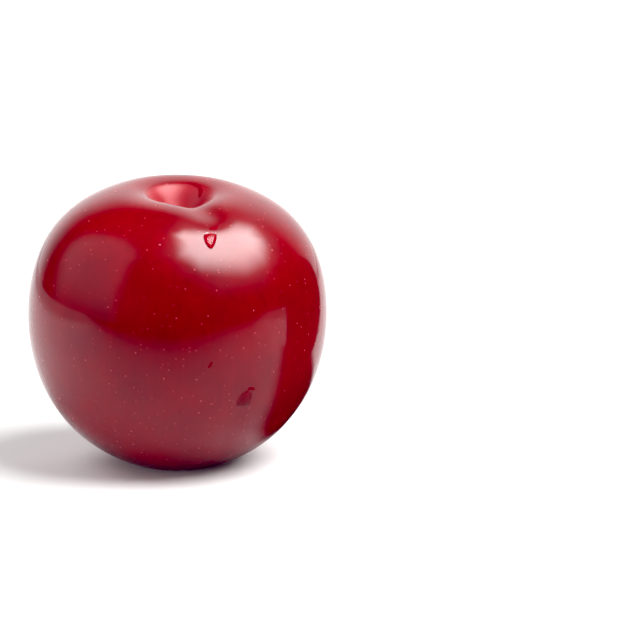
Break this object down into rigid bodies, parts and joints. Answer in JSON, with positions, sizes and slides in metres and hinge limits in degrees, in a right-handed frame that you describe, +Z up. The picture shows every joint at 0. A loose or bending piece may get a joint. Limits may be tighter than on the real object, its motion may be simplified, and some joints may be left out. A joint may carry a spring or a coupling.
{
  "type": "plum",
  "caption": "Whole round red plum with broad shoulders, a stem cavity and a shallow suture, standing on a small flat spot; display food or table prop.",
  "frame": {"origin": "middle of the underside of the fruit's bounding box, on the surface that it stands on", "axes": "+Z up, out of the top of the standing fruit; the flat resting spot faces -Z; -Y is the front, where the suture runs a little to the right; +X to the right seen from the front"},
  "size_m": [0.056, 0.0558, 0.0534],
  "materials": {
    "plum_skin": "gloss"
  },
  "bodies": {
    "root": {"plum": "plum_skin"}
  },
  "joints": []
}
